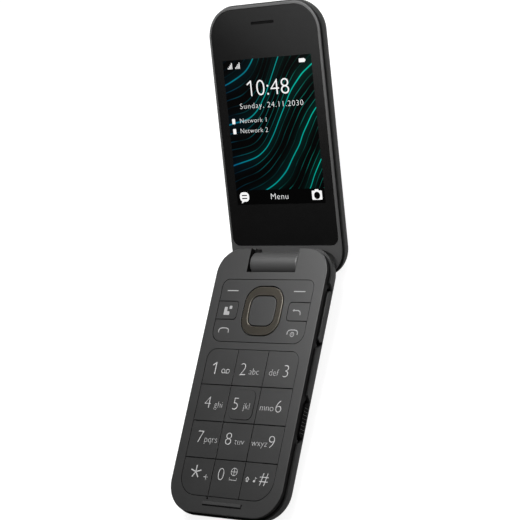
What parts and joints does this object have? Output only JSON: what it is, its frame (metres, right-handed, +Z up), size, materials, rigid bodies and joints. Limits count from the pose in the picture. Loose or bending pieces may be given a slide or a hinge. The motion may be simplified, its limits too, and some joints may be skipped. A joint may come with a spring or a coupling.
{
  "type": "flip phone",
  "caption": "Folding mobile phone with a keypad half and a display lid on one hinge, drawn open as it lies on a table.",
  "frame": {"origin": "on the table, under the middle of the open phone's bounding box", "axes": "+X across the phone to the side with the volume key, +Y from the keypad's free end towards the lid, +Z up from the table"},
  "size_m": [0.055, 0.1924, 0.0625],
  "materials": {
    "housing_plastic": "fine satin moulded plastic, dark grey",
    "key_plastic": "fine satin moulded plastic, dark grey, pale printed legends",
    "black_plastic": "satin black moulded plastic",
    "cover_plastic": "satin moulded plastic, dark grey",
    "ring_bronze": "satin dark bronze lacquer",
    "window_glass": "gloss pane, printed black on the inside",
    "display_panel": "display panel",
    "steel": "bright steel",
    "gold_contact": "plated contact metal",
    "circuit_board": "lacquered circuit board",
    "soft_rubber": "moulded rubber",
    "battery_wrap": "plain wrapped battery, no label",
    "clear_lens": "clear lens"
  },
  "bodies": {
    "base": {"keypad_housing": "housing_plastic", "base_band": "black_plastic", "rear_case": "cover_plastic", "battery_cover": "cover_plastic", "battery": "battery_wrap", "main_board": "circuit_board", "keypad_mat": "soft_rubber", "key_domes": "steel", "loudspeaker": "black_plastic", "vibration_motor": "steel", "headset_jack": "black_plastic", "usb_socket": "steel", "charging_contacts": "gold_contact", "battery_contacts": "gold_contact", "sim_holder": "steel", "microphone": "steel", "bumper_rib": "soft_rubber", "base_screws": "steel", "hinge_cartridge": "steel", "side_switches": "black_plastic"},
    "lid": {"lid_frame": "housing_plastic", "lid_band": "black_plastic", "lid_cover": "cover_plastic", "main_window": "window_glass", "main_display": "display_panel", "display_bracket": "steel", "earpiece": "black_plastic", "earpiece_mesh": "steel", "outer_window": "window_glass", "outer_display": "display_panel", "camera_module": "black_plastic", "camera_lens": "clear_lens", "flash_lens": "clear_lens", "lid_board": "circuit_board", "lid_magnet": "steel", "lid_screws": "steel", "hinge_cam": "steel", "hinge_bush": "steel", "hinge_flex": "circuit_board"},
    "key_1": {"key_1": "key_plastic"},
    "key_2": {"key_2": "key_plastic"},
    "key_3": {"key_3": "key_plastic"},
    "key_4": {"key_4": "key_plastic"},
    "key_5": {"key_5": "key_plastic"},
    "key_6": {"key_6": "key_plastic"},
    "key_7": {"key_7": "key_plastic"},
    "key_8": {"key_8": "key_plastic"},
    "key_9": {"key_9": "key_plastic"},
    "key_star": {"key_star": "key_plastic"},
    "key_0": {"key_0": "key_plastic"},
    "key_hash": {"key_hash": "key_plastic"},
    "function_key": {"function_key": "key_plastic"},
    "back_key": {"back_key": "key_plastic"},
    "ok_key": {"ok_key": "key_plastic"},
    "nav_plate_pad": {"nav_plate_pad": "soft_rubber"},
    "nav_plate": {"nav_plate": "key_plastic"},
    "nav_ring_pad": {"nav_ring_pad": "soft_rubber"},
    "nav_ring": {"nav_ring": "ring_bronze"},
    "volume_key": {"volume_key": "black_plastic"},
    "side_key": {"side_key": "black_plastic"}
  },
  "joints": [
    {"name": "lid_hinge", "type": "hinge", "parent": "base", "child": "lid", "pos_m": [0, 0.0057, 0.01185], "axis": [1, 0, 0], "range_deg": [0, 150.9]},
    {"name": "key_1_press", "type": "slide", "parent": "base", "child": "key_1", "axis": [0, 0.0632, -0.998], "range_m": [0, 0.00025], "stiffness_N_per_m": 400, "springref_m": -0.0002},
    {"name": "key_2_press", "type": "slide", "parent": "base", "child": "key_2", "axis": [0, 0.0632, -0.998], "range_m": [0, 0.00025], "stiffness_N_per_m": 400, "springref_m": -0.0002},
    {"name": "key_3_press", "type": "slide", "parent": "base", "child": "key_3", "axis": [0, 0.0632, -0.998], "range_m": [0, 0.00025], "stiffness_N_per_m": 400, "springref_m": -0.0002},
    {"name": "key_4_press", "type": "slide", "parent": "base", "child": "key_4", "axis": [0, 0.0632, -0.998], "range_m": [0, 0.00025], "stiffness_N_per_m": 400, "springref_m": -0.0002},
    {"name": "key_5_press", "type": "slide", "parent": "base", "child": "key_5", "axis": [0, 0.0632, -0.998], "range_m": [0, 0.00025], "stiffness_N_per_m": 400, "springref_m": -0.0002},
    {"name": "key_6_press", "type": "slide", "parent": "base", "child": "key_6", "axis": [0, 0.0632, -0.998], "range_m": [0, 0.00025], "stiffness_N_per_m": 400, "springref_m": -0.0002},
    {"name": "key_7_press", "type": "slide", "parent": "base", "child": "key_7", "axis": [0, 0.0632, -0.998], "range_m": [0, 0.00025], "stiffness_N_per_m": 400, "springref_m": -0.0002},
    {"name": "key_8_press", "type": "slide", "parent": "base", "child": "key_8", "axis": [0, 0.0632, -0.998], "range_m": [0, 0.00025], "stiffness_N_per_m": 400, "springref_m": -0.0002},
    {"name": "key_9_press", "type": "slide", "parent": "base", "child": "key_9", "axis": [0, 0.0632, -0.998], "range_m": [0, 0.00025], "stiffness_N_per_m": 400, "springref_m": -0.0002},
    {"name": "key_star_press", "type": "slide", "parent": "base", "child": "key_star", "axis": [0, 0.0632, -0.998], "range_m": [0, 0.00025], "stiffness_N_per_m": 400, "springref_m": -0.0002},
    {"name": "key_0_press", "type": "slide", "parent": "base", "child": "key_0", "axis": [0, 0.0632, -0.998], "range_m": [0, 0.00025], "stiffness_N_per_m": 400, "springref_m": -0.0002},
    {"name": "key_hash_press", "type": "slide", "parent": "base", "child": "key_hash", "axis": [0, 0.0632, -0.998], "range_m": [0, 0.00025], "stiffness_N_per_m": 400, "springref_m": -0.0002},
    {"name": "function_key_press", "type": "slide", "parent": "base", "child": "function_key", "axis": [0, 0.0632, -0.998], "range_m": [0, 0.00025], "stiffness_N_per_m": 400, "springref_m": -0.0002},
    {"name": "back_key_press", "type": "slide", "parent": "base", "child": "back_key", "axis": [0, 0.0632, -0.998], "range_m": [0, 0.00025], "stiffness_N_per_m": 400, "springref_m": -0.0002},
    {"name": "ok_key_press", "type": "slide", "parent": "base", "child": "ok_key", "axis": [0, 0.0632, -0.998], "range_m": [0, 0.00025], "stiffness_N_per_m": 400, "springref_m": -0.0002},
    {"name": "nav_plate_rock_along", "type": "hinge", "parent": "base", "child": "nav_plate_pad", "pos_m": [0, -0.01529, 0.01433], "axis": [1, 0, 0], "range_deg": [-0.7, 0.7], "stiffness_Nm_per_rad": 0.02},
    {"name": "nav_plate_rock_across", "type": "hinge", "parent": "nav_plate_pad", "child": "nav_plate", "pos_m": [0, -0.01529, 0.01433], "axis": [0, 0.998, 0.0632], "range_deg": [-0.4, 0.4], "stiffness_Nm_per_rad": 0.02},
    {"name": "nav_ring_rock_along", "type": "hinge", "parent": "base", "child": "nav_ring_pad", "pos_m": [0, -0.01529, 0.01433], "axis": [1, 0, 0], "range_deg": [-1, 1], "stiffness_Nm_per_rad": 0.02},
    {"name": "nav_ring_rock_across", "type": "hinge", "parent": "nav_ring_pad", "child": "nav_ring", "pos_m": [0, -0.01529, 0.01433], "axis": [0, 0.998, 0.0632], "range_deg": [-1, 1], "stiffness_Nm_per_rad": 0.02},
    {"name": "volume_key_rock", "type": "hinge", "parent": "base", "child": "volume_key", "pos_m": [0.026, -0.01558, 0.01096], "axis": [0, -0.0632, 0.998], "range_deg": [-1.4, 1.4], "stiffness_Nm_per_rad": 0.02},
    {"name": "side_key_press", "type": "slide", "parent": "base", "child": "side_key", "axis": [-1, 0, 0], "range_m": [0, 0.00025], "stiffness_N_per_m": 400, "springref_m": -0.0002}
  ]
}
